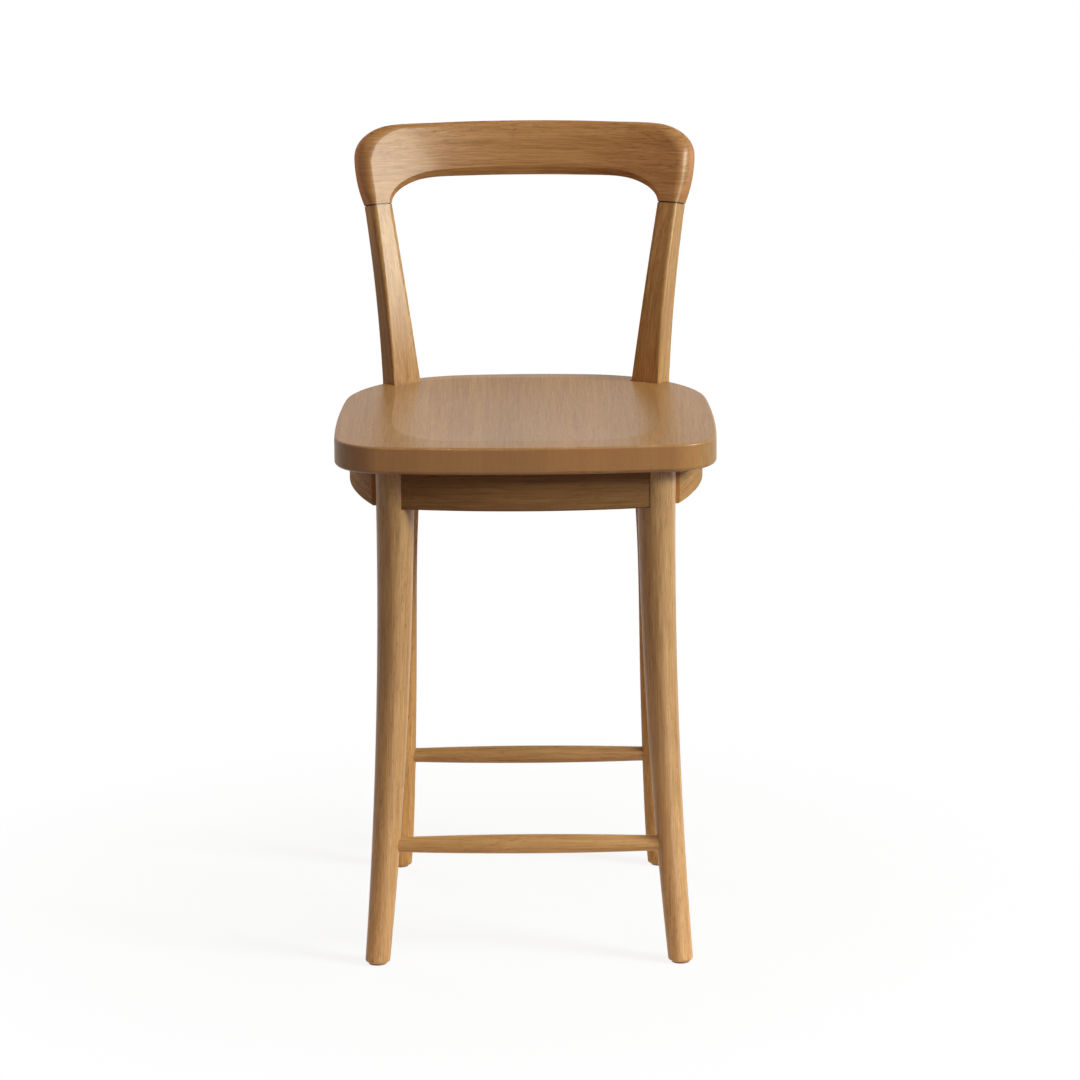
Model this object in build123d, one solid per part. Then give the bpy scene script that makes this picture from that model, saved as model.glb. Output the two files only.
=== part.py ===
from build123d import *
import os
from math import cos, exp, pi, radians, sin, sqrt, tan

# Counter stool with a back and a footrest, in millimetres.
# +Z is up, the sitter faces -Y and X = 0 is the plane of symmetry.

# Seat board, glued up from staves that run from front to back
seat_height = 650.0
seat_thickness = 34.0
seat_width = 462.0
seat_depth = 440.0
seat_front_bow = 20.0
seat_back_bow = 30.0
seat_front_inset = 1.0
seat_back_inset = 19.0
seat_front_corner = 60.0
seat_back_corner = 165.0
seat_top_round = 3.0
seat_bottom_round = 5.0
first_stave_width = 103.0
stave_width = 77.0

# Saddle of the seat: a broad hollow with a low ridge between the thighs
hollow_depth = 9.0
hollow_side_margin = 66.0
hollow_front_margin = 40.0
hollow_back_margin = 24.0
ridge_height = 6.0
ridge_length = 190.0
ridge_half_width = 34.0
ridge_flare = 36.0

# Front legs: round, tapered, straight up at the seat and bent outwards at the foot
front_leg_side_inset = 72.5
front_leg_setback = 52.0
front_leg_side_bend = 28.3
front_leg_front_bend = 44.0
front_leg_top_diameter = 47.5
front_foot_diameter = 30.5
foot_round = 3.0
front_flat_inset = 7.8
side_flat_inset = 2.0

# Rear legs: square in the seat corner, round below, and a leaning post above the seat
rear_leg_side_inset = 72.5
rear_leg_setback = 44.0
rear_leg_turn = 29.0
rear_leg_width = 39.0
rear_leg_thickness = 32.0
rear_leg_arris = 2.0
rear_square_below_apron = 8.0
rear_round_length = 170.0
rear_shank_diameter = 33.5
rear_shank_ease = 1.2
rear_foot_diameter = 28.6
rear_foot_taper = 57.5
rear_leg_side_bend = 10.5
rear_leg_back_bend = 17.0
post_height = 222.0
post_top_width = 29.5
post_top_round = 7.0
post_side_lean = 28.0
post_back_lean = 36.0

# Crest rail: an inverted U, hollow towards the sitter
crest_height = 66.5
crest_arch_rise = 30.5
crest_thickness = 24.0
crest_edge_round = 9.0
crest_corner_front_round = 17.0
crest_corner_back_round = 5.0
crest_bevel_width = 10.0
crest_bevel_depth = 5.0
joint_groove_width = 1.2
joint_groove_depth = 1.4
crest_beyond_post = 26.0
crest_corner_across = 44.0
crest_corner_drop = 34.0
crest_inner_across = 66.0
crest_plan_radius = 480.0
back_lean_angle = 14.8

# Aprons
apron_height = 48.0
apron_thickness = 20.0
apron_bevel = 1.5
front_apron_step_in = 2.5
front_apron_bow = 15.3
side_apron_step_out = 4.7
side_apron_bow = 32.5
rear_apron_lead = 2.0

# Footrest and rear stretcher
footrest_height = 146.4
footrest_diameter = 23.8
footrest_end_diameter = 19.0
rear_stretcher_height = 152.0
rear_stretcher_diameter = 22.7
rear_stretcher_end_diameter = 18.5
stretcher_tenon = 16.0
stretcher_neck = 6.0

# Corner blocks and hardware
block_height = 30.0
block_width = 26.0
block_leg_gap = 4.0
block_top_gap = 2.0
screw_diameter = 4.0
screw_head_diameter = 8.0
screw_head_height = 3.0
screw_grip = 12.0
apron_screw_cover = 7.0
seat_screw_cover = 16.0
dowel_diameter = 8.0
dowel_in_leg = 10.0
dowel_in_rail = 22.0
dowel_edge = 12.0
crest_dowel_diameter = 6.0
crest_dowel_depth = 22.0
crest_dowel_edge = 7.5
glide_edge = 4.3
glide_thickness = 2.5
glide_nail_diameter = 3.0
glide_nail_length = 14.0

# Clearances
fit_gap = 0.1
bore_end_gap = 0.8
notch_gap = 0.4
notch_bevel = 1.5
shoulder_gap = 0.2

# How the curved surfaces are drawn: number of sections, and shape factors
hollow_grid = 17
hollow_overrun = 1.15
hollow_edge_power = 3.0
leg_sections = 6
post_sections = 4
post_back_curve = 1.6
post_side_curve = 0.28
crest_corner_sections = 11
crest_straight_sections = 4
crest_corner_start = -60.0
corner_limit = 0.48

# Heights and places that follow from the sizes above
seat_underside = seat_height - seat_thickness
seat_front = -seat_depth / 2
seat_back = seat_depth / 2
apron_bottom = seat_underside - apron_height
front_leg_x = seat_width / 2 - front_leg_side_inset
front_leg_y = seat_front + front_leg_setback
front_leg_radius = front_leg_top_diameter / 2
front_flat_x = front_leg_x - front_flat_inset
side_flat_y = front_leg_y + side_flat_inset
rear_leg_x = seat_width / 2 - rear_leg_side_inset
rear_leg_y = seat_back - rear_leg_setback
rear_square_bottom = apron_bottom - rear_square_below_apron
joint_height = seat_height + post_height
crest_low = joint_height + crest_arch_rise
back_height = crest_low + crest_height
turn = radians(rear_leg_turn)
leg_wide = Vector(cos(turn), -sin(turn), 0)
leg_deep = Vector(sin(turn), cos(turn), 0)
up = Vector(0, 0, 1)


def rod(start, direction, diameter, length):
    """A round bar from a start point along a direction."""
    place = Plane(origin=start, z_dir=direction)
    bottom = (Align.CENTER, Align.CENTER, Align.MIN)
    return place * Cylinder(diameter / 2, length, align=bottom)


def slab(sketch, low, high):
    """A flat outline raised between two heights."""
    return Pos(0, 0, low) * extrude(sketch, amount=high - low)


def rounded(place, wide, deep, corner):
    """A rounded rectangle on a plane; its corners stay within its sides."""
    return place * RectangleRounded(wide, deep, min(corner, corner_limit * min(wide, deep)))


def disc(x, y, radius):
    return Pos(x, y) * Circle(radius)


def mirrored(shape):
    return mirror(shape, about=Plane.YZ)


def between(start, end, share):
    return start + (end - start) * share


# Seat board
def seat_outline():
    side_x = seat_width / 2
    front_x = side_x - seat_front_inset
    back_x = side_x - seat_back_inset
    front_y = seat_front + seat_front_bow
    back_y = seat_back - seat_back_bow
    side_y = (front_y + back_y) / 2
    front = ThreePointArc((-front_x, front_y), (0, seat_front), (front_x, front_y))
    right = ThreePointArc((front_x, front_y), (side_x, side_y), (back_x, back_y))
    back = ThreePointArc((back_x, back_y), (0, seat_back), (-back_x, back_y))
    left = ThreePointArc((-back_x, back_y), (-side_x, side_y), (-front_x, front_y))
    outline = make_face([front, right, back, left])
    roundest = corner_limit * min(seat_width, seat_depth)
    outline = fillet(outline.vertices().sort_by(Axis.Y)[:2], min(seat_front_corner, roundest))
    return fillet(outline.vertices().sort_by(Axis.Y)[-2:], min(seat_back_corner, roundest))


hollow_half_width = seat_width / 2 - hollow_side_margin
hollow_half_length = (seat_depth - hollow_front_margin - hollow_back_margin) / 2
hollow_front = seat_front + hollow_front_margin
hollow_centre_y = hollow_front + hollow_half_length


def hollow_surface_height(x, y):
    """Height of the saddle surface, above the seat top outside the hollow."""
    along = (y - hollow_centre_y) / hollow_half_length
    across = x / hollow_half_width
    reach = sqrt(sqrt(across**4 + along**4))
    forward = min(max(1 - (y - hollow_front) / ridge_length, 0.0), 1.0)
    ridge_width = ridge_half_width + ridge_flare * forward
    ridge = ridge_height * forward * exp(-((x / ridge_width) ** 2))
    return seat_height - (hollow_depth - ridge) * (1 - reach**hollow_edge_power)


def hollow_cutter():
    half_x = hollow_half_width * hollow_overrun
    half_y = hollow_half_length * hollow_overrun
    steps = [2 * i / (hollow_grid - 1) - 1 for i in range(hollow_grid)]
    rows = []
    for row in steps:
        y = hollow_centre_y + half_y * row
        rows.append([Vector(half_x * s, y, hollow_surface_height(half_x * s, y)) for s in steps])
    surface = Face.make_surface_from_array_of_points(rows)
    return extrude(surface, amount=seat_thickness, dir=(0, 0, 1))


def leg_square(grow, low, high):
    """The square stretch of the right rear leg, grown all round by a clearance."""
    place = Plane(origin=(rear_leg_x, rear_leg_y, low), x_dir=leg_wide, z_dir=up)
    wide = rear_leg_width + 2 * grow
    deep = rear_leg_thickness + 2 * grow
    return extrude(rounded(place, wide, deep, rear_leg_arris + grow), amount=high - low)


def notch_rim():
    """The bevel round the top of the notch that takes the right rear leg."""
    sections = []
    for rise in (-notch_bevel, notch_bevel):
        place = Plane(origin=(rear_leg_x, rear_leg_y, seat_height + rise), x_dir=leg_wide, z_dir=up)
        grow = notch_gap + notch_bevel + rise
        wide = rear_leg_width + 2 * grow
        sections.append(rounded(place, wide, rear_leg_thickness + 2 * grow, rear_leg_arris + grow))
    return loft(sections, ruled=True)


def seat_board():
    """The board with its edges rounded, before it is hollowed and notched."""
    board = slab(seat_outline(), seat_underside, seat_height)
    board = fillet(board.faces().sort_by(Axis.Z)[-1].edges(), seat_top_round)
    return fillet(board.faces().sort_by(Axis.Z)[0].edges(), seat_bottom_round)


def seat_cuts():
    """The saddle, and the notches that take the rear legs, with a bevel round the top of each."""
    notch = leg_square(notch_gap, seat_underside - notch_gap, seat_height + notch_gap)
    right = [notch, notch_rim()]
    return right + [hollow_cutter()] + [mirrored(cut) for cut in right]


def seat_staves(board):
    """The staves of a board, from left to right."""
    first_line = first_stave_width - seat_width / 2
    line_count = max(1, round((seat_width - first_stave_width) / stave_width))
    lines = [first_line + stave_width * i for i in range(line_count)]
    edges = [-seat_width] + lines + [seat_width]
    staves = []
    for left, right in zip(edges[:-1], edges[1:]):
        block = Box(right - left, 2 * seat_depth, 4 * seat_thickness)
        staves.append(board & (Pos((left + right) / 2, 0, seat_height) * block))
    return staves


# Front legs
def front_leg_axis(height):
    drop = (seat_underside - height) / seat_underside
    x = front_leg_x + front_leg_side_bend * drop**2
    y = front_leg_y - front_leg_front_bend * drop**2
    return x, y, between(front_leg_top_diameter, front_foot_diameter, drop)


def front_leg():
    sections = []
    for step in range(leg_sections):
        height = between(glide_thickness, seat_underside, step / (leg_sections - 1))
        x, y, diameter = front_leg_axis(height)
        sections.append(Pos(x, y, height) * Circle(diameter / 2))
    leg = loft(sections)
    leg = fillet(leg.edges().sort_by(Axis.Z)[0], foot_round)
    low = apron_bottom - shoulder_gap
    tall = seat_underside - low
    size = 2 * front_leg_top_diameter
    inwards = (Align.MAX, Align.CENTER, Align.MIN)
    inner = Pos(front_flat_x, front_leg_y, low) * Box(size, size, tall, align=inwards)
    backwards = (Align.CENTER, Align.MIN, Align.MIN)
    rear = Pos(front_leg_x, side_flat_y, low) * Box(size, size, tall, align=backwards)
    return leg - inner - rear


# Crest rail: sections stand on a mid surface that leans back and is hollow in plan
lean = tan(radians(back_lean_angle))
post_top_x = rear_leg_x + post_side_lean
post_top_y = rear_leg_y + post_back_lean
crest_half = post_top_x + crest_beyond_post
crest_corner_z = back_height - crest_corner_drop


def crest_sag(x):
    return crest_plan_radius - sqrt(crest_plan_radius**2 - x**2)


def crest_mid(x, z):
    """A point of the mid surface, from its place in the front view."""
    y = post_top_y + crest_sag(post_top_x) + (z - joint_height) * lean - crest_sag(x)
    return Vector(x, y, z)


def crest_plane(inner, outer):
    """The plane of a section between two points of the front view, and its width."""
    start = crest_mid(*inner)
    end = crest_mid(*outer)
    middle = (start + end) * 0.5
    chord = end - start
    through = Vector(middle.X / sqrt(crest_plan_radius**2 - middle.X**2), 1, -lean)
    return Plane(origin=middle, x_dir=chord, z_dir=chord.cross(through)), chord.length


def crest_section(inner, outer, thickness, bevel_width, edge_round, front_round, back_round):
    """A section of the rail: bevelled along its inner front edge, and rounded along the other three."""
    place, wide = crest_plane(inner, outer)
    right = wide / 2
    back = thickness / 2
    bevel = [(-right, crest_bevel_depth - back), (bevel_width - right, -back)]
    section = Polygon(*bevel, (right, -back), (right, back), (-right, back), align=None)
    ease = min(1.0, 2 * corner_limit * thickness / (front_round + back_round))
    rounds = {(right, -back): front_round, (right, back): back_round, (-right, back): edge_round}
    for corner, radius in rounds.items():
        section = fillet(section.vertices().sort_by_distance((*corner, 0))[0], radius * ease)
    return place * section


joint_reach = post_top_width / 2 * sqrt(1 - (post_top_x / crest_plan_radius) ** 2)
joint_inner = (post_top_x - joint_reach, joint_height)
joint_outer = (post_top_x + joint_reach, joint_height)
joint_plane = crest_plane(joint_inner, joint_outer)[0]


def joint_groove():
    """A fine groove round the joint of the right post and the crest, half in each."""
    rings = []
    for grow in (joint_groove_depth, -joint_groove_depth):
        wide = post_top_width + 2 * grow
        rings.append(rounded(joint_plane, wide, rear_leg_thickness + 2 * grow, post_top_round + grow))
    return extrude(rings[0] - rings[1], joint_groove_width / 2, both=True)


def crest_inner(angle):
    """The edge under the crest, swept from the post in to the straight lower edge."""
    x = joint_inner[0] - crest_inner_across * (1 - cos(radians(angle)))
    return x, between(joint_height, crest_low, sin(radians(angle)))


def crest_outer(angle):
    """The outer edge: up from the post to the end of the crest, then round its corner."""
    rise = sin(radians(angle))
    if angle < 0:
        return between(crest_half, joint_outer[0], rise**2), between(crest_corner_z, joint_height, -rise)
    x = crest_half - crest_corner_across * (1 - cos(radians(angle)))
    return x, between(crest_corner_z, back_height, rise)


def crest_stations():
    """Sections of the right half, from the post joint round the corner to the middle."""
    joint_rounds = [post_top_round] * 3
    stations = [(joint_inner, joint_outer, rear_leg_thickness, crest_bevel_depth, *joint_rounds)]
    for step in range(crest_corner_sections):
        angle = between(crest_corner_start, 90, step / (crest_corner_sections - 1))
        share = (step + 1) / crest_corner_sections
        thickness = between(rear_leg_thickness, crest_thickness, share)
        edge_round = between(post_top_round, crest_edge_round, share)
        front_round = between(edge_round, crest_corner_front_round, sin(pi * share))
        back_round = between(edge_round, crest_corner_back_round, sin(pi * share))
        bevel_width = between(crest_bevel_depth, crest_bevel_width, share)
        edges = (bevel_width, edge_round, front_round, back_round)
        stations.append((crest_inner(90 * share), crest_outer(angle), thickness, *edges))
    low_x = crest_inner(90)[0]
    top_x = crest_outer(90)[0]
    for step in range(crest_straight_sections):
        share = 1 - (step + 1) / crest_straight_sections
        low = (low_x * share, crest_low)
        top = (top_x * share, back_height)
        rounds = [crest_edge_round] * 3
        stations.append((low, top, crest_thickness, crest_bevel_width, *rounds))
    return stations


def crest_rail():
    stations = crest_stations()
    sections = [crest_section(*station) for station in stations]
    for inner, outer, *sizes in reversed(stations[:-1]):
        left_inner = (-inner[0], inner[1])
        left_outer = (-outer[0], outer[1])
        sections.append(crest_section(left_inner, left_outer, *sizes))
    return loft(sections)


# Rear legs
def rear_leg_axis(height):
    drop = (rear_square_bottom - height) / (rear_square_bottom - glide_thickness)
    return rear_leg_x + rear_leg_side_bend * drop**2, rear_leg_y + rear_leg_back_bend * drop**2


def rear_shank():
    """The leg below its square stretch: it turns round, and tapers at the foot."""
    taper_top = glide_thickness + rear_foot_taper
    round_top = rear_square_bottom - rear_round_length
    full = rear_shank_diameter
    near_foot = full - rear_shank_ease
    shapes = [
        (glide_thickness, rear_foot_diameter, rear_foot_diameter, rear_foot_diameter / 2),
        (taper_top, near_foot, near_foot, near_foot / 2),
        (between(taper_top, round_top, 1 / 3), full, full, full / 2),
        (between(taper_top, round_top, 2 / 3), full, full, full / 2),
        (round_top, full, full, full / 2),
        (between(round_top, rear_square_bottom, 1 / 2), full + rear_shank_ease, full, full / 3),
        (rear_square_bottom, rear_leg_width, rear_leg_thickness, rear_leg_arris),
    ]
    sections = []
    for height, wide, deep, corner in shapes:
        place = Plane(origin=(*rear_leg_axis(height), height), x_dir=leg_wide, z_dir=up)
        sections.append(rounded(place, wide, deep, corner))
    shank = loft(sections)
    return fillet(shank.faces().sort_by(Axis.Z)[0].edges(), foot_round)


def post():
    """The leg above the seat: it leans out and back, and meets the crest rail squarely."""
    sections = []
    for step in range(post_sections):
        share = step / post_sections
        x = rear_leg_x + post_side_lean * between(share, share**2, post_side_curve)
        y = rear_leg_y + post_back_lean * share**post_back_curve
        z = between(seat_height, joint_height, share)
        facing = between(leg_wide, joint_plane.x_dir, share)
        axis = between(up, joint_plane.z_dir, share)
        place = Plane(origin=(x, y, z), x_dir=facing, z_dir=axis)
        wide = between(rear_leg_width, post_top_width, 2 * share - share**2)
        corner = between(rear_leg_arris, post_top_round, share)
        sections.append(rounded(place, wide, rear_leg_thickness, corner))
    sections.append(rounded(joint_plane, post_top_width, rear_leg_thickness, post_top_round))
    return loft(sections)


def rear_leg():
    return leg_square(0, rear_square_bottom, seat_height) + rear_shank() + post()


# Aprons: the front and side ones are bowed, the rear one is straight
def bow_radius(bow, half_chord):
    return (bow**2 + half_chord**2) / (2 * bow)


front_apron_radius = bow_radius(front_apron_bow, front_flat_x)
front_arc_y = front_leg_y - front_leg_radius + front_apron_step_in - front_apron_bow + front_apron_radius
side_apron_radius = bow_radius(side_apron_bow, side_flat_y)
side_arc_x = front_leg_x + front_leg_radius + side_apron_step_out + side_apron_bow - side_apron_radius
rear_apron_y = rear_leg_y - rear_apron_lead
leg_centre = Vector(rear_leg_x, rear_leg_y, 0)
leg_outer_face = leg_centre + leg_wide * (rear_leg_width / 2)
leg_inner_face = leg_centre - leg_wide * (rear_leg_width / 2)
leg_front_face = leg_centre - leg_deep * (rear_leg_thickness / 2)
across_seat = 2 * seat_width + 2 * seat_depth


def apron_section(place):
    """The upright section of an apron, its lower corners bevelled, on a plane whose X points outwards."""
    section = Rectangle(apron_thickness, apron_height, align=(Align.MAX, Align.MIN))
    return place * chamfer(section.vertices().sort_by(Axis.Y)[:2], apron_bevel)


def apron_between(bar, outline):
    """The length of an apron bar that stands over a plan outline."""
    return bar & slab(outline, apron_bottom - apron_bevel, seat_underside + apron_bevel)


def bowed_bar(x, y, radius):
    place = Plane(origin=(-radius, 0, apron_bottom), x_dir=(-1, 0, 0), z_dir=(0, 1, 0))
    return Pos(x, y, 0) * revolve(apron_section(place), Axis.Z)


def front_apron():
    window = Pos(0, front_leg_y) * Rectangle(2 * front_flat_x, seat_depth)
    return apron_between(bowed_bar(0, front_arc_y, front_apron_radius), window)


def side_apron():
    behind = Pos(0, side_flat_y) * Rectangle(across_seat, across_seat, align=(Align.MIN, Align.MIN))
    place = Plane(origin=leg_outer_face, x_dir=leg_wide, z_dir=up)
    outside = place * Rectangle(across_seat, across_seat, align=(Align.MIN, Align.CENTER))
    return apron_between(bowed_bar(side_arc_x, 0, side_apron_radius), behind & outside)


def rear_apron():
    origin = (0, rear_apron_y + apron_thickness, apron_bottom)
    section = apron_section(Plane(origin=origin, x_dir=(0, 1, 0), z_dir=(1, 0, 0)))
    bar = extrude(section, seat_width, both=True)
    place = Plane(origin=leg_inner_face, x_dir=leg_wide, z_dir=up)
    inside = place * Rectangle(across_seat, across_seat, align=(Align.MAX, Align.CENTER))
    return apron_between(bar, inside & mirrored(inside))


# Stretchers: barrel-shaped spindles with straight ends, along X
def stretcher(leg_x, leg_y, leg_radius, height, diameter, end_diameter):
    half = leg_x - leg_radius + stretcher_tenon
    swell = half - stretcher_tenon - stretcher_neck
    end_radius = end_diameter / 2
    profile = make_face(
        [
            Line((-half, 0), (-half, end_radius)),
            Line((-half, end_radius), (-swell, end_radius)),
            ThreePointArc((-swell, end_radius), (0, diameter / 2), (swell, end_radius)),
            Line((swell, end_radius), (half, end_radius)),
            Line((half, end_radius), (half, 0)),
            Line((half, 0), (-half, 0)),
        ]
    )
    return Pos(0, leg_y, height) * revolve(profile, Axis.X)


def stretcher_bore(leg_x, leg_y, leg_radius, height, end_diameter):
    reach = stretcher_tenon + bore_end_gap
    start = Vector(leg_x - leg_radius + reach, leg_y, height)
    return rod(start, (-1, 0, 0), end_diameter + 2 * fit_gap, 2 * reach + leg_radius)


# Corner blocks: each spans two aprons behind a leg, with a screw into each apron and one up into the seat
block_top = seat_underside - block_top_gap
block_bottom = block_top - block_height
front_block_way = Vector(1, -1, 0).normalized()
front_leg_corner = Vector(front_flat_x, side_flat_y, 0)
side_arc_centre = Vector(side_arc_x, 0, 0)
front_arc_centre = Vector(0, front_arc_y, 0)
side_inner_radius = side_apron_radius - apron_thickness
front_inner_radius = front_apron_radius - apron_thickness


def circle_hit(point, toward, centre, radius):
    """Where a line from a point inside a circle leaves the circle."""
    offset = point - centre
    reach = offset.dot(toward)
    return point + toward * (sqrt(reach**2 - offset.dot(offset) + radius**2) - reach)


def corner_block(way, leg_point, room):
    """A diagonal strip across a corner, trimmed to the inner faces of the aprons."""
    near = leg_point - way * block_leg_gap
    strip = Rectangle(block_width, across_seat, align=(Align.MAX, Align.CENTER))
    outline = (Plane(origin=near, x_dir=way, z_dir=up) * strip) & room
    return slab(outline & disc(side_arc_x, 0, side_inner_radius), block_bottom, block_top)


def front_block():
    return corner_block(front_block_way, front_leg_corner, disc(0, front_arc_y, front_inner_radius))


def rear_block():
    room = Pos(0, rear_apron_y) * Rectangle(across_seat, across_seat, align=(Align.CENTER, Align.MAX))
    return corner_block(leg_deep, leg_front_face, room)


front_middle = front_leg_corner - front_block_way * (block_leg_gap + block_width / 2)
front_along = front_block_way.cross(up)
front_point = circle_hit(front_middle, front_along, front_arc_centre, front_inner_radius)
front_side_point = circle_hit(front_middle, -front_along, side_arc_centre, side_inner_radius)
rear_middle = leg_front_face - leg_deep * (block_leg_gap + block_width / 2)
rear_along = leg_deep.cross(up)
rear_side_point = circle_hit(rear_middle, rear_along, side_arc_centre, side_inner_radius)
rear_point = rear_middle + rear_along * ((rear_apron_y - rear_middle.Y) / rear_along.Y)


# Screws: each is known by its tip, the way it drives and its length under the head
def apron_screw(contact, way):
    level = Vector(0, 0, (block_top + block_bottom) / 2)
    bite = apron_thickness - apron_screw_cover
    return contact + level + way * bite, way, bite + screw_grip


def seat_screw(first, second):
    bite = seat_thickness - seat_screw_cover
    tip = (first + second) * 0.5 + up * (seat_underside + bite)
    return tip, up, block_height - screw_head_height + block_top_gap + bite


def wood_screw(tip, way, length):
    start = tip - way * length
    return rod(start, -way, screw_head_diameter, screw_head_height) + rod(start, way, screw_diameter, length)


def screw_bore(tip, way, length):
    """The hole of a screw, with a wider one behind it for its head and the driver."""
    start = tip - way * length
    hole = rod(start, way, screw_diameter + 2 * fit_gap, length + bore_end_gap)
    return hole + rod(start, -way, screw_head_diameter + 2 * fit_gap, 2 * block_width)


to_front_apron = apron_screw(front_point, (front_point - front_arc_centre).normalized())
to_side_front = apron_screw(front_side_point, (front_side_point - side_arc_centre).normalized())
to_side_rear = apron_screw(rear_side_point, (rear_side_point - side_arc_centre).normalized())
to_rear_apron = apron_screw(rear_point, Vector(0, 1, 0))
front_seat_screw = seat_screw(front_point, front_side_point)
rear_seat_screw = seat_screw(rear_point, rear_side_point)


# Dowels: each is known by its place on the joint face, the way into the leg, its diameter and two depths
def dowel(face_point, way, diameter, deep, back, grow=0.0, end_gap=0.0):
    start = face_point - way * (back + end_gap)
    return rod(start, way, diameter + 2 * grow, deep + back + 2 * end_gap)


def dowel_bore(place):
    return dowel(*place, grow=fit_gap, end_gap=bore_end_gap)


def dowel_pair(point, way):
    levels = (apron_bottom + dowel_edge, seat_underside - dowel_edge)
    return [(point + up * level, way, dowel_diameter, dowel_in_leg, dowel_in_rail) for level in levels]


half_thick = apron_thickness / 2
front_start = Vector(front_flat_x, front_leg_y, 0)
front_end = circle_hit(front_start, Vector(0, -1, 0), front_arc_centre, front_apron_radius - half_thick)
front_dowels = dowel_pair(front_end, Vector(1, 0, 0))
side_start = Vector(front_leg_x, side_flat_y, 0)
side_front = circle_hit(side_start, Vector(1, 0, 0), side_arc_centre, side_apron_radius - half_thick)
side_front_dowels = dowel_pair(side_front, (side_front - side_arc_centre).cross(up).normalized())
side_rear = circle_hit(leg_outer_face, leg_deep, side_arc_centre, side_apron_radius - half_thick)
side_rear_dowels = dowel_pair(side_rear, up.cross(side_rear - side_arc_centre).normalized())
rear_rise = (rear_apron_y + half_thick - leg_inner_face.Y) / leg_deep.Y
rear_dowels = dowel_pair(leg_inner_face + leg_deep * rear_rise, Vector(1, 0, 0))
crest_offset = joint_plane.x_dir * (post_top_width / 2 - crest_dowel_edge)
crest_dowel_size = (joint_plane.z_dir, crest_dowel_diameter, crest_dowel_depth, crest_dowel_depth)
crest_dowels = [(joint_plane.origin + crest_offset * side, *crest_dowel_size) for side in (-1, 1)]


# Foot glides: a disc under each foot with a nail up into it
def glide_nail(x, y, grow=0.0, end_gap=0.0):
    diameter = glide_nail_diameter + 2 * grow
    return rod((x, y, glide_thickness - grow), up, diameter, glide_nail_length + grow + end_gap)


def foot_glide(x, y, foot_diameter):
    return rod((x, y, 0), up, foot_diameter - 2 * glide_edge, glide_thickness) + glide_nail(x, y)


def drilled(shape, holes):
    for hole in holes:
        shape = shape - hole
    return shape


def both_sides(shapes):
    return shapes + [mirrored(shape) for shape in shapes]


def bores(*dowel_places):
    return [dowel_bore(place) for places in dowel_places for place in places]


def screw_bores(*screws):
    return [screw_bore(*screw) for screw in screws]


# Every piece, drilled for what joins it
front_foot = front_leg_axis(glide_thickness)[:2]
rear_foot = rear_leg_axis(glide_thickness)
front_x, front_y, front_diameter = front_leg_axis(footrest_height)
rear_x, rear_y = rear_leg_axis(rear_stretcher_height)
front_bar = (front_x, front_y, front_diameter / 2, footrest_height)
back_bar = (rear_x, rear_y, rear_shank_diameter / 2, rear_stretcher_height)
front_leg_holes = bores(front_dowels, side_front_dowels)
front_leg_holes.append(stretcher_bore(*front_bar, footrest_end_diameter))
front_leg_holes.append(glide_nail(*front_foot, fit_gap, bore_end_gap))
rear_leg_holes = bores(side_rear_dowels, rear_dowels, crest_dowels)
rear_leg_holes.append(stretcher_bore(*back_bar, rear_stretcher_end_diameter))
rear_leg_holes.append(glide_nail(*rear_foot, fit_gap, bore_end_gap))
rear_leg_holes.append(joint_groove())
crest_holes = both_sides(bores(crest_dowels) + [joint_groove()])
front_block_holes = screw_bores(to_front_apron, to_side_front, front_seat_screw)
rear_block_holes = screw_bores(to_rear_apron, to_side_rear, rear_seat_screw)
front_apron_holes = bores(front_dowels) + screw_bores(to_front_apron)
side_apron_holes = bores(side_front_dowels, side_rear_dowels) + screw_bores(to_side_front, to_side_rear)
rear_apron_holes = bores(rear_dowels) + screw_bores(to_rear_apron)
seat_holes = seat_cuts() + both_sides(screw_bores(front_seat_screw, rear_seat_screw))

paired = {
    "front_leg": drilled(front_leg(), front_leg_holes),
    "rear_leg": drilled(rear_leg(), rear_leg_holes),
    "side_apron": drilled(side_apron(), side_apron_holes),
    "front_corner_block": drilled(front_block(), front_block_holes),
    "rear_corner_block": drilled(rear_block(), rear_block_holes),
    "front_foot_glide": foot_glide(*front_foot, front_foot_diameter),
    "rear_foot_glide": foot_glide(*rear_foot, rear_foot_diameter),
}
pieces = {
    "crest_rail": drilled(crest_rail(), crest_holes),
    "front_apron": drilled(front_apron(), both_sides(front_apron_holes)),
    "rear_apron": drilled(rear_apron(), both_sides(rear_apron_holes)),
    "footrest": stretcher(*front_bar, footrest_diameter, footrest_end_diameter),
    "rear_stretcher": stretcher(*back_bar, rear_stretcher_diameter, rear_stretcher_end_diameter),
}
for name, shape in paired.items():
    pieces[name + "_right"] = shape
    pieces[name + "_left"] = mirrored(shape)
for number, stave in enumerate(seat_staves(seat_board()), start=1):
    pieces[f"seat_stave_{number}"] = drilled(stave, seat_holes)
groups = {
    "crest_dowels": [dowel(*place) for place in crest_dowels],
    "front_apron_dowels": [dowel(*place) for place in front_dowels],
    "rear_apron_dowels": [dowel(*place) for place in rear_dowels],
    "side_apron_front_dowels": [dowel(*place) for place in side_front_dowels],
    "side_apron_rear_dowels": [dowel(*place) for place in side_rear_dowels],
    "corner_block_screws": [
        wood_screw(*screw) for screw in (to_front_apron, to_side_front, to_side_rear, to_rear_apron)
    ],
    "seat_screws": [wood_screw(*screw) for screw in (front_seat_screw, rear_seat_screw)],
}

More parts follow.
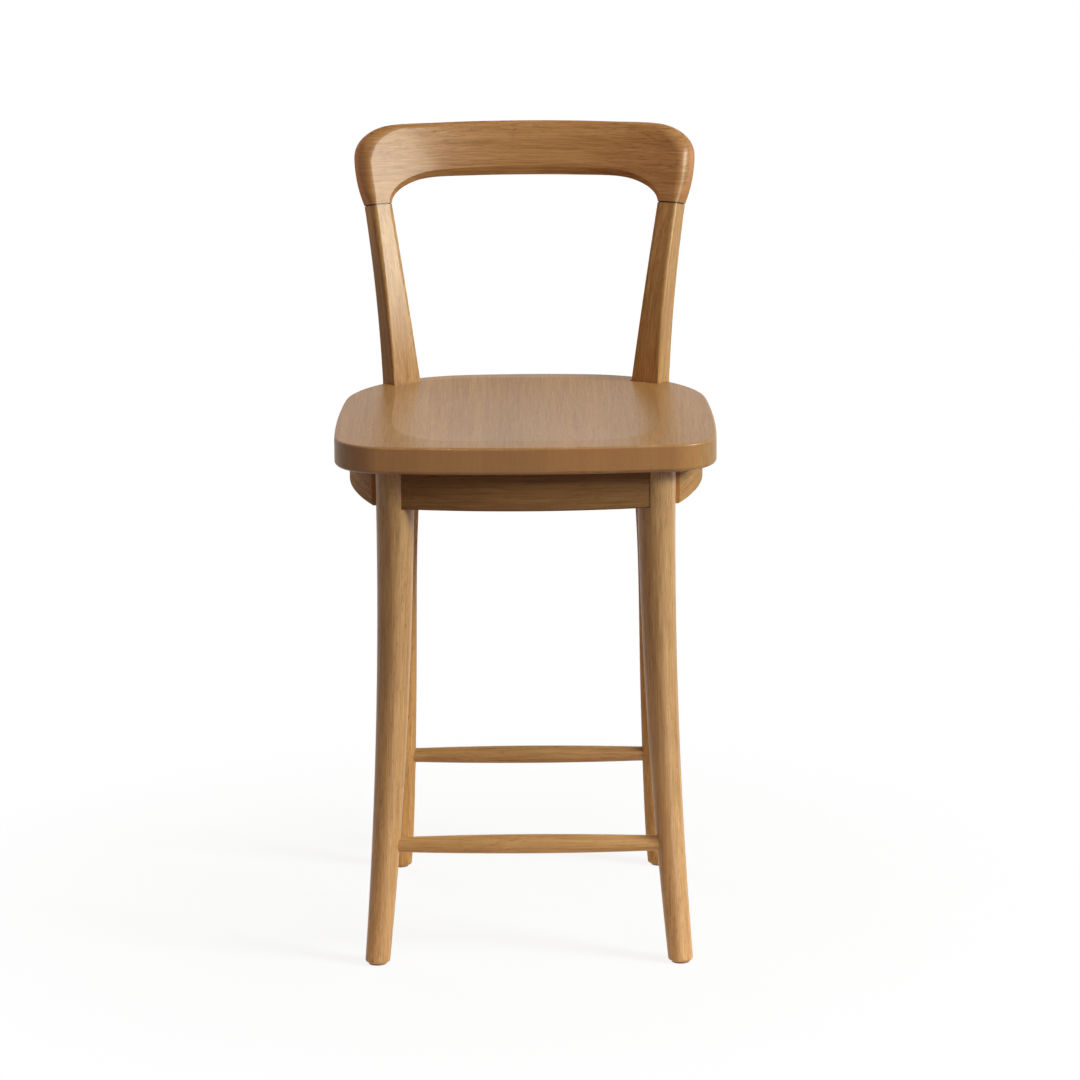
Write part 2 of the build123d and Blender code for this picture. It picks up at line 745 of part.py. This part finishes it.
# The origin is on the floor, under the middle of the whole stool
box = Compound(list(pieces.values())).bounding_box()
centred = Pos(0, -(box.min.Y + box.max.Y) / 2, 0)
os.makedirs("parts", exist_ok=True)
for name, shape in pieces.items():
    export_step(centred * shape, f"parts/{name}.step")
for name, shapes in groups.items():
    group = Compound(children=[centred * shape for shape in both_sides(shapes)])
    export_step(group, f"parts/{name}.step")
print("pieces", len(pieces) + len(groups), "size", box.size, "moved", centred.position)
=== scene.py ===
# %% [markdown]
# # A wooden counter stool
# The stool has a curved crest rail on two leaning posts, a saddled seat glued up from six staves,
# four splayed legs, and two thin rails low between them. Nearly all of it is one material: a pale
# hardwood, stained honey brown and given a satin varnish. The shapes come from the packed CAD model,
# and no piece is added here. This lesson gives them wood, steel and plastic, and sets up the light.

# %% Load the stool
import math

import bmesh
import bpy
from mathutils import Matrix, Vector


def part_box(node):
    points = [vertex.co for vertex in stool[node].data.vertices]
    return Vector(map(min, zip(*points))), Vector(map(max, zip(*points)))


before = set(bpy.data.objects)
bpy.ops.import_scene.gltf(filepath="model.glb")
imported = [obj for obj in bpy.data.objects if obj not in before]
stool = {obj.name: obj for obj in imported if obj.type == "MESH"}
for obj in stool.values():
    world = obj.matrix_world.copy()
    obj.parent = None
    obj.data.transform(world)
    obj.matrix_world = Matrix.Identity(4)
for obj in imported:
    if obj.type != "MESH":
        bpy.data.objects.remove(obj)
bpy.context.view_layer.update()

# %% [markdown]
# ## The camera
# The photograph was taken from the front with a long lens, from about two metres up, so the seat's top
# shows as a narrow band and both pairs of legs are seen. A camera could be aimed with a constraint, but
# here its place and its three turns are written down, because they were measured from the picture:
# it looks down by 13.6 degrees, and the picture leans by less than half a degree.

# %% Camera
# The lens is in millimetres, the place in metres and the turns in degrees.
film_width = 36.0
focal_length = 170.45
camera_place = (0.02748, -6.2393, 1.98665)
turned_aside = 0.1
looking_down = 13.609
picture_lean = -0.42

camera_data = bpy.data.cameras.new("photo_camera")
camera_data.sensor_width = film_width
camera_data.lens = focal_length
camera = bpy.data.objects.new("photo_camera", camera_data)
bpy.context.collection.objects.link(camera)
pan = Matrix.Rotation(math.radians(turned_aside), 4, "Z")
tip = Matrix.Rotation(math.radians(90.0 - looking_down), 4, "X")
lean = Matrix.Rotation(math.radians(picture_lean), 4, "Z")
camera.matrix_world = Matrix.Translation(camera_place) @ pan @ tip @ lean
bpy.context.scene.camera = camera
print("camera at", tuple(round(x, 3) for x in camera.location))

# %% [markdown]
# ## Shader maths as Python
# A wood finish needs dozens of nodes, and wiring them one by one hides what they do. The class below
# wraps one output of a node. Adding or multiplying two of them makes the Math node, and one method
# makes any other kind of node from its settings and the values or links of its sockets.


# %% A class for shader wires
class Wire:
    """One output of a shader node. Arithmetic on wires adds Math nodes to the same tree."""

    def __init__(self, tree, socket):
        self.tree = tree
        self.socket = socket

    def node(self, kind, settings, sockets, output=0):
        """A wire from a new node: its settings are set first, then its sockets are filled or linked."""
        made = self.tree.nodes.new("ShaderNode" + kind)
        for name, value in settings.items():
            if name == "stops":
                for place, _ in value[2:]:
                    made.color_ramp.elements.new(place)
                for stop, (place, colour) in zip(made.color_ramp.elements, value):
                    stop.position = place
                    stop.color = (*colour, 1.0)
            else:
                setattr(made, name, value)
        for key, value in sockets.items():
            if isinstance(value, Wire):
                self.tree.links.new(value.socket, made.inputs[key])
            else:
                made.inputs[key].default_value = value
        return Wire(self.tree, made.outputs[output])

    def math(self, operation, *values):
        return self.node("Math", {"operation": operation}, dict(enumerate(values)))

    def __add__(self, other):
        return self.math("ADD", self, other)

    def __sub__(self, other):
        return self.math("SUBTRACT", self, other)

    def __rsub__(self, other):
        return self.math("SUBTRACT", other, self)

    def __mul__(self, other):
        return self.math("MULTIPLY", self, other)

    __radd__ = __add__
    __rmul__ = __mul__

    def into(self, socket):
        self.tree.links.new(self.socket, socket)


def new_finish(name):
    """A new material: itself, its Principled shader, and wires for the place and facing of a point."""
    finish = bpy.data.materials.new(name)
    finish.use_nodes = True
    tree = finish.node_tree
    coordinates = tree.nodes.new("ShaderNodeTexCoord")
    place = Wire(tree, coordinates.outputs["Object"])
    facing = Wire(tree, coordinates.outputs["Normal"])
    return finish, tree.nodes["Principled BSDF"], place, facing


print("shader wires ready:", [name for name in vars(Wire) if name.startswith("__r")])

# %% [markdown]
# ## The grain
# Wood is a bundle of tubes that run the length of the tree, so every part of its pattern is stretched
# along one direction. A noise texture gives that when its coordinates are squeezed along the grain.
# A Mapping node first turns each board so that its grain runs along the texture's X axis, and shifts it
# to a place of its own in the noise, so that no two boards are alike.


# %% Turning a board and stretching noise along it
board_step = (0.37, 1.91, 0.73)


def laid_along(place, grain, squeeze, seed):
    """The coordinates of a board whose grain runs along a direction, squeezed through its thickness."""
    turn = Vector(grain).rotation_difference(Vector((1, 0, 0))).to_euler()
    shift = tuple(step * seed for step in board_step)
    sockets = {"Vector": place, "Location": shift, "Rotation": turn, "Scale": squeeze}
    return place.node("Mapping", {"vector_type": "POINT"}, sockets)


def vector(first, operation, second, output=0):
    """Two vectors through a Vector Math node."""
    return first.node("VectorMath", {"operation": operation}, {0: first, 1: second}, output)


def stretched_noise(board, along, across, detail=2.0, output="Fac"):
    """Noise with so many spots to the metre along the grain and across it."""
    squeezed = vector(board, "MULTIPLY", (along, across, across))
    return board.node("TexNoise", {}, {"Vector": squeezed, "Scale": 1.0, "Detail": detail}, output)


def between(value, low, high):
    """0 below low, 1 above high, and a smooth step from one to the other."""
    return value.node("MapRange", {"interpolation_type": "SMOOTHSTEP"}, {0: value, 1: low, 2: high})


def blend(factor, first, second):
    """The first colour where the factor is 0, the second where it is 1."""
    # A Mix node takes its two colours in sockets 6 and 7, and gives the mixed one from output 2.
    sockets = {0: factor, 6: first, 7: second}
    return factor.node("Mix", {"data_type": "RGBA", "blend_type": "MIX"}, sockets, 2)


print("grain helpers ready, boards lie", board_step, "apart in the noise")

# %% [markdown]
# ## Measuring the stool
# The finishes need a few places on the stool: which way the legs run, how high the seat is, and where
# the crest rail meets the posts. They could be written down as numbers, but those would be wrong as soon
# as the drawing changed. Here they are measured from the loaded meshes. The crest joint's middle and
# direction come from the dowels that cross it.


# %% Legs, seat and crest joint
foot_height = 0.01
slice_reach = 0.02


def mean(points):
    return sum(points, Vector()) / len(points)


def middle_at(node, height):
    """The middle of a leg near a height."""
    corners = [vertex.co for vertex in stool[node].data.vertices]
    return mean([corner for corner in corners if abs(corner.z - height) < slice_reach])


def run_of(node, top):
    """The direction of a leg from its foot to a height."""
    return (middle_at(node, top) - middle_at(node, foot_height)).normalized()


def post_lean(node):
    """How far a post leans out and back for each metre that it rises above the seat."""
    rise = middle_at(node, post_top) - middle_at(node, seat_top)
    return (rise.x / rise.z, rise.y / rise.z, 0.0)


seat_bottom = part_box("seat_stave_3")[0].z
seat_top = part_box("seat_stave_3")[1].z
post_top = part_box("rear_leg_left")[1].z
crest_pins = [vertex.co for vertex in stool["crest_dowels"].data.vertices if vertex.co.x > 0.0]
joint_middle = mean(crest_pins)
pin_tops = [point for point in crest_pins if point.z > joint_middle.z]
joint_axis = (mean(pin_tops) - joint_middle).normalized()
print("seat top:", round(seat_top, 3), "crest joint:", [round(x, 3) for x in joint_middle])

# %% [markdown]
# ## Figure and pores
# The stain shows the wood at three scales. Broad streaks, a few centimetres across, drift between honey
# and brown. Bands and fibres, a few millimetres across and less, give the surface its silk. Between them
# lie the pores: short dark dashes and hairs where the stain has settled in tubes that the plane cut open.
# A picture of wood could be wrapped round each piece, but it would break at the edges. Noise fills the
# whole solid, so the pattern runs over an edge as it does in real wood.


# %% Figure and pores
# Spots to the metre along the grain, spots to the metre across it, and levels of finer detail.
slow_drift = (2.5, 9.0, 1.0)
broad_streaks = (1.3, 30.0, 2.0)
narrow_bands = (5.0, 230.0, 2.0)
fine_fibres = (18.0, 640.0, 2.0)
pore_patches = (6.0, 26.0, 2.0)
short_dashes = (100.0, 640.0, 1.0)
long_hairs = (30.0, 1300.0, 1.0)
# The levels of the noise at which a patch, a dash or a hair begins, and at which it is full.
patch_edge = (0.30, 0.70)
dash_edge = (0.57, 0.68)
hair_edge = (0.54, 0.70)
# How far the grain wanders, in metres, and how much each part of the pattern counts.
wander_reach = (0.0, 0.010, 0.010)
noise_middle = 0.5
streak_share = 0.65
band_share = 0.65
fibre_share = 0.90
dash_depth = 0.10
patch_depth = 0.26
hair_depth = 0.22


def wandering(straight):
    """The coordinates of a board whose grain wanders a little from side to side."""
    middle = (noise_middle, noise_middle, noise_middle)
    drift = vector(stretched_noise(straight, *slow_drift, "Color"), "SUBTRACT", middle)
    return vector(straight, "ADD", vector(drift, "MULTIPLY", wander_reach))


def figure_of(board):
    """The streaks and the fibres of a board, and all its figure together, above and below 0."""
    streaks = stretched_noise(board, *broad_streaks)
    bands = stretched_noise(board, *narrow_bands)
    fibres = stretched_noise(board, *fine_fibres)
    broad = (streaks - noise_middle) * streak_share + (bands - noise_middle) * band_share
    return streaks, fibres, broad + (fibres - noise_middle) * fibre_share


def pores_of(board):
    """How dark the pores of a board are: dashes, deeper in some patches, and fine hairs."""
    patches = between(stretched_noise(board, *pore_patches), *patch_edge)
    dashes = between(stretched_noise(board, *short_dashes), *dash_edge)
    hairs = between(stretched_noise(board, *long_hairs), *hair_edge)
    return dashes * (dash_depth + patch_depth * patches) + hairs * hair_depth


print("streaks about", round(1000.0 / broad_streaks[1]), "mm across")

# %% [markdown]
# ## Leaning posts and dark joints
# Above the seat the rear legs lean out and back as posts, and their grain leans with them. Two patterns
# would meet in a break at the bend, so the lean is taken out of the coordinates, and one pattern runs
# the whole length. Where a post meets the crest rail, the joint lies in a line of shade a millimetre or
# two wide. A groove could be cut there to cast it, but a line that fine is only seen as a colour, so
# it is painted in as dark shade.


# %% Posts and joints
posts = ("rear_leg_left", "rear_leg_right")
joint_width = 0.0013


def unbent(place, start, lean):
    """The coordinates of a leg as if it were straight: above a height, its lean is taken away."""
    rise = place.node("SeparateXYZ", {}, {0: place}, 2) - start
    above = rise.math("MAXIMUM", rise, 0.0)
    offset = above.node("VectorMath", {"operation": "SCALE"}, {0: lean, "Scale": above})
    return vector(place, "SUBTRACT", offset)


def painted_joint_shade(point):
    """1 in the joint between a post and the crest, where its shade is painted, and 0 elsewhere."""
    # The left half is folded over to the right, where the joint was measured.
    folded = vector(point, "MULTIPLY", (-1.0, 1.0, 1.0))
    folded = vector(folded, "MAXIMUM", point)
    level = vector(vector(folded, "SUBTRACT", joint_middle), "DOT_PRODUCT", joint_axis, "Value")
    return 1.0 - between(level.math("ABSOLUTE", level), 0.5 * joint_width, joint_width)


print("posts:", posts, "joint line:", joint_width, "m")

# %% [markdown]
# ## The stained wood
# The figure picks a colour between dark and light honey, and the pores darken it. Faces that look along
# the grain show the cut ends of the tubes: there the figure is fainter and the colour a little redder,
# and also lighter, which is painted light that brightens the seat's front edge and the other end faces.
# The satin varnish could be the shader's own gloss, but seen from the side that turned the crest white
# under the sheen lamp. A thin clear coat doesn't, and it is weaker where the pores break it.


# %% The wood finish
honey_dark = (0.345, 0.155, 0.048)
honey = (0.490, 0.246, 0.082)
honey_light = (0.600, 0.331, 0.121)
honey_stops = [(0.18, honey_dark), (0.50, honey), (0.82, honey_light)]
pore_brown = (0.150, 0.066, 0.024)
joint_shade_brown = (0.060, 0.026, 0.010)
plain_hue = (1.0, 1.0, 1.0)
ruddy_hue = (1.0, 0.93, 0.97)
# End grain: its colour beside a long face's, lighter as painted light and a little redder, where it
# begins and is full, and how much its figure fades.
end_grain_and_light = (1.11, 0.99, 0.98)
end_edge = (0.55, 0.97)
end_fade = 0.65
# Varnish: the roughness of wood and coat, what the streaks and pores add, and what the pores take away.
satin_roughness = 0.35
streak_roughness = 0.10
pore_roughness = 0.16
pore_break = 0.5
# Relief: how far the fibres stand up beside a pore's depth of 1, and the bump's strength and distance.
fibre_relief = 0.6
bump_strength = 0.10
bump_distance = 0.0006


def stained_wood(node, grain, squeeze, tone, hue, shine, contrast, seed):
    """Satin wood with its grain along a direction. A tone of 1 is a middling board, less is darker."""
    finish, varnish, point, facing = new_finish(f"{node}_wood")
    place = unbent(point, seat_top, post_lean(node)) if node in posts else point
    along = vector(facing, "DOT_PRODUCT", grain, "Value")
    ends = between(along.math("ABSOLUTE", along), *end_edge)
    board = wandering(laid_along(place, grain, squeeze, seed))
    strength = contrast * (1.0 - end_fade * ends)
    streaks, fibres, mixed = figure_of(board)
    figure = noise_middle + strength * mixed
    pores = strength * pores_of(board)
    stain = figure.node("ValToRGB", {"stops": honey_stops}, {0: figure})
    grain_colour = blend(pores, stain, (*pore_brown, 1.0))
    face_shade = Vector(hue) * tone
    # End faces are made lighter: painted light on the seat's front edge and the other end faces.
    end_grain_and_light_shade = face_shade * Vector(end_grain_and_light)
    shade = blend(ends, (*face_shade, 1.0), (*end_grain_and_light_shade, 1.0))
    tinted = vector(grain_colour, "MULTIPLY", shade)
    if node in posts or node == "crest_rail":
        # Painted shade: the dark line in the joint between a post and the crest.
        tinted = blend(painted_joint_shade(point), tinted, (*joint_shade_brown, 1.0))
    tinted.into(varnish.inputs["Base Color"])
    roughness = satin_roughness + streak_roughness * (streaks - noise_middle) + pore_roughness * pores
    roughness.into(varnish.inputs["Roughness"])
    (shine * (1.0 - pore_break * pores)).into(varnish.inputs["Coat Weight"])
    varnish.inputs["Coat Roughness"].default_value = satin_roughness
    varnish.inputs["Specular IOR Level"].default_value = 0.0
    relief = fibre_relief * fibres - pores
    raised = {"Strength": bump_strength, "Distance": bump_distance, "Height": relief}
    relief.node("Bump", {}, raised, "Normal").into(varnish.inputs["Normal"])
    return finish


print("wood finish ready, from", honey_dark, "to", honey_light)

# %% [markdown]
# ## Which way each board runs
# A chair maker cuts every piece so that the grain runs its length, because wood is many times stronger
# that way. The legs' own directions are measured from foot to seat, so that the pattern follows their
# splay. One wood could serve for the whole stool, but real boards differ, so each piece gets a tone, a
# hue and a sheen of its own, and each seat stave its own board, as in a real glued-up seat. The front
# apron's low tone is partly its own darker wood and partly painted shade from the seat above it.


# %% Wood on every wooden piece
across_stool = Vector((1, 0, 0))
front_to_back = Vector((0, 1, 0))
# The pattern is drawn out through a board's thickness, and not at all in a round bar.
facing_front = (1.0, 0.12, 1.0)
facing_side = (0.12, 1.0, 1.0)
facing_up = (1.0, 1.0, 0.12)
round_bar = (1.0, 1.0, 1.0)
stave_tones = (0.83, 0.87, 0.81, 0.87, 0.84, 0.87)
# The columns are the grain's direction, the squeeze, the tone, the hue, the varnish and the contrast.
boards = {
    "crest_rail": (across_stool, facing_front, 0.93, ruddy_hue, 0.22, 1.0),
    # The front apron's tone of 0.60 is partly darker wood and partly painted shade from the seat's
    # overhang.
    "front_apron": (across_stool, facing_front, 0.60, ruddy_hue, 0.20, 1.0),
    "rear_apron": (across_stool, facing_front, 0.95, plain_hue, 0.40, 1.0),
    "footrest": (across_stool, round_bar, 1.01, plain_hue, 0.50, 1.0),
    "rear_stretcher": (across_stool, round_bar, 0.85, plain_hue, 0.50, 1.0),
    "side_apron_left": (front_to_back, facing_side, 0.97, plain_hue, 0.15, 1.0),
    "side_apron_right": (front_to_back, facing_side, 0.97, plain_hue, 0.15, 1.0),
}
for leg in ("front_leg_left", "front_leg_right"):
    boards[leg] = (run_of(leg, seat_bottom), round_bar, 1.02, plain_hue, 0.84, 1.0)
for leg in posts:
    boards[leg] = (run_of(leg, seat_top), round_bar, 1.01, plain_hue, 0.26, 1.0)
for number, tone in enumerate(stave_tones, 1):
    boards[f"seat_stave_{number}"] = (front_to_back, facing_up, tone, plain_hue, 0.76, 0.6)
for corner in [name for name in stool if "corner_block_" in name and not name.endswith("screws")]:
    boards[corner] = (across_stool, round_bar, 1.1, plain_hue, 0.40, 1.0)
for pins in [name for name in stool if name.endswith("dowels")]:
    boards[pins] = (across_stool, round_bar, 1.15, plain_hue, 0.40, 1.0)
for seed, (node, board) in enumerate(boards.items(), 1):
    stool[node].material_slots[0].material = stained_wood(node, *board, seed)
print("boards:", len(boards))

# %% [markdown]
# ## Steel and plastic
# Twelve wood screws hold the corner blocks and the seat, and four nylon glides keep the feet off the
# floor. They are small and hardly seen, so each gets a simple finish: two shades of one colour mixed by
# noise, which makes the surface rougher where it is lighter. Drawn out, the noise looks like brushed
# steel, and even, like the fine pebble of moulded plastic.


# %% Steel and plastic finishes
# Spots to the metre along and across, two shades, and the least roughness with what the noise adds.
brush_lines = (300.0, 2600.0)
steel_dark = (0.42, 0.41, 0.39, 1.0)
steel_light = (0.62, 0.61, 0.58, 1.0)
steel_roughness = 0.28
brush_roughness = 0.22
fine_pebble = (1400.0, 1400.0)
nylon_dark = (0.23, 0.125, 0.050, 1.0)
nylon_light = (0.30, 0.170, 0.070, 1.0)
nylon_roughness = 0.46
pebble_roughness = 0.14


def brushed_steel(name):
    finish, metal, place, _ = new_finish(name)
    brush = stretched_noise(place, *brush_lines)
    metal.inputs["Metallic"].default_value = 1.0
    blend(brush, steel_dark, steel_light).into(metal.inputs["Base Color"])
    (steel_roughness + brush_roughness * brush).into(metal.inputs["Roughness"])
    return finish


def moulded_nylon(name):
    finish, plastic, place, _ = new_finish(name)
    pebble = stretched_noise(place, *fine_pebble)
    blend(pebble, nylon_dark, nylon_light).into(plastic.inputs["Base Color"])
    (nylon_roughness + pebble_roughness * pebble).into(plastic.inputs["Roughness"])
    return finish


steel = brushed_steel("screw_steel")
nylon = moulded_nylon("glide_nylon")
for node in ("corner_block_screws", "seat_screws"):
    stool[node].material_slots[0].material = steel
for node in [name for name in stool if "glide" in name]:
    stool[node].material_slots[0].material = nylon
print("hardware finishes:", steel.name, nylon.name)

# %% [markdown]
# ## The floor
# The photograph is cut out on pure white. More light would whiten a floor, but it would bleach the wood
# as well. So a round sheet of paper glows white for rays from the camera and from reflections, a little
# less near the feet, where the stool keeps its shadow. For the light that bounces up to the stool the
# paper is warm and pale near the feet and dark further out, so that little comes up from below.


# %% Floor
white = (1.0, 1.0, 1.0, 1.0)
floor_radius = 1.4
floor_corners = 96
paper_roughness = 0.9
paper_near = (0.95, 0.84, 0.74, 1.0)
paper_far = (0.16, 0.14, 0.12, 1.0)
# Distances from the middle, in metres, over which the paper darkens and over which its glow grows.
paper_edge = (0.35, 0.80)
glow_edge = (0.25, 0.95)
glow_near = 0.86
glow_added = 0.14


def shown_directly(tree):
    """1 for a ray from the camera, a reflection or clear glass, and 0 for light that bounces."""
    rays = tree.nodes.new("ShaderNodeLightPath")
    seen = Wire(tree, rays.outputs["Is Camera Ray"])
    mirrored = Wire(tree, rays.outputs["Is Glossy Ray"])
    through = Wire(tree, rays.outputs["Is Transmission Ray"])
    return seen.math("MAXIMUM", seen.math("MAXIMUM", seen, mirrored), through)


sheet = bmesh.new()
bmesh.ops.create_circle(sheet, cap_ends=True, segments=floor_corners, radius=floor_radius)
floor_mesh = bpy.data.meshes.new("paper_floor")
sheet.to_mesh(floor_mesh)
sheet.free()
floor = bpy.data.objects.new("paper_floor", floor_mesh)
bpy.context.collection.objects.link(floor)

paper, matt, place, _ = new_finish("pale_paper")
matt.inputs["Roughness"].default_value = paper_roughness
shown = shown_directly(paper.node_tree)
from_middle = vector(place, "LENGTH", (0.0, 0.0, 0.0), "Value")
lit_paper = blend(between(from_middle, *paper_edge), paper_near, paper_far)
blend(shown, lit_paper, white).into(matt.inputs["Base Color"])
glow = shown * (glow_near + glow_added * between(from_middle, *glow_edge))
glowing = glow.node("Emission", {}, {"Color": white, "Strength": 1.0})
mixed = glow.node("MixShader", {}, {0: glow, 1: Wire(paper.node_tree, matt.outputs[0]), 2: glowing})
mixed.into(paper.node_tree.nodes["Material Output"].inputs["Surface"])
floor_mesh.materials.append(paper)
print("floor radius", floor_radius, "m")

# %% [markdown]
# ## The lamps
# In the photograph the light comes from high on the right. A large soft key lamp gives that, and a weak
# one high in front fills in. A narrow lamp on the left touches the left end of the crest, a low one the
# feet, and a soft lamp behind lights the back without showing in the varnish. One bright dome would be
# simpler, but it would leave the round legs flat. The sheen comes from two lamps that only show in
# reflections. They are linked to all but the seat, where they would make a broad glare.


# %% Lamps
def soft_lamp(name, place, aim, size, power, colour=(1.0, 1.0, 1.0)):
    """A rectangular lamp at a place, turned to what it is aimed at."""
    lamp = bpy.data.lights.new(name, "AREA")
    lamp.shape = "RECTANGLE"
    lamp.size, lamp.size_y = size
    lamp.energy = power
    lamp.color = colour
    stand = bpy.data.objects.new(name, lamp)
    turn = (Vector(aim) - Vector(place)).to_track_quat("-Z", "Y")
    stand.matrix_world = Matrix.Translation(place) @ turn.to_matrix().to_4x4()
    bpy.context.collection.objects.link(stand)
    return stand


# Places, aims and sizes are in metres, powers in watts and spreads in degrees.
under_seat = (0.0, 0.0, 0.50)
at_seat = (0.0, 0.0, 0.60)
above_seat = (0.0, 0.0, 0.80)
crest_left_end = (-0.22, 0.15, 1.02)
front_feet = (0.0, -0.10, 0.05)
key_tint = (0.94, 1.08, 1.06)
left_tint = (1.0, 0.92, 0.88)
back_tint = (1.0, 0.90, 0.82)
sheen_tint = (1.0, 0.93, 0.78)
left_spread = 6.0
low_spread = 18.0

soft_lamp("key_lamp", (4.06, -1.73, 2.85), under_seat, (1.5, 1.5), 216.0, key_tint)
soft_lamp("front_lamp", (0.30, -1.75, 3.50), at_seat, (1.4, 1.4), 11.0)
left_lamp = soft_lamp("left_lamp", (-3.20, -0.70, 1.30), crest_left_end, (0.3, 0.3), 0.07, left_tint)
left_lamp.data.spread = math.radians(left_spread)
back_lamp = soft_lamp("back_lamp", (-2.30, 3.20, 1.50), at_seat, (1.8, 1.8), 42.0, back_tint)
back_lamp.visible_glossy = False
low_lamp = soft_lamp("low_lamp", (1.20, -2.75, 0.25), front_feet, (0.8, 0.4), 0.32)
low_lamp.data.spread = math.radians(low_spread)

upright_pieces = bpy.data.collections.new("upright_pieces")
for node in [name for name in stool if not name.startswith("seat")]:
    upright_pieces.objects.link(stool[node])
for sheen in (
    soft_lamp("sheen_lamp", (3.05, -2.45, 2.20), above_seat, (2.2, 1.6), 850.0, sheen_tint),
    soft_lamp("rim_lamp", (3.20, 1.75, 1.00), above_seat, (1.2, 1.8), 66.0),
):
    sheen.visible_diffuse = False
    sheen.light_linking.receiver_collection = upright_pieces

# %% [markdown]
# ## The white room
# Around the stool is a white room. A box could be built for it, but the world's own background does the
# same with no walls in the way. The camera and reflections see it plain white, while the light it sends
# to the stool is warm and weak, and comes more from above than from the sides. The Standard view shows
# colours as they are written.


# %% Room
room_warmth = (1.0, 0.81, 0.70, 1.0)
room_low = 0.06
room_added = 0.28
room_edge = (0.0, 0.9)

room = bpy.data.worlds.new("white_room")
room.use_nodes = True
room_tree = room.node_tree
backdrop = room_tree.nodes["Background"]
bright = shown_directly(room_tree)
room_place = Wire(room_tree, room_tree.nodes.new("ShaderNodeTexCoord").outputs["Generated"])
height = room_place.node("SeparateXYZ", {}, {0: room_place}, 2)
soft = room_low + room_added * between(height, *room_edge)
(soft + bright - soft * bright).into(backdrop.inputs["Strength"])
blend(bright, room_warmth, white).into(backdrop.inputs["Color"])
bpy.context.scene.world = room
bpy.context.scene.view_settings.view_transform = "Standard"
print("room:", room.name, "shown with", bpy.context.scene.view_settings.view_transform)

# %% [markdown]
# The dressed stool has to stay inside the box of the CAD model.
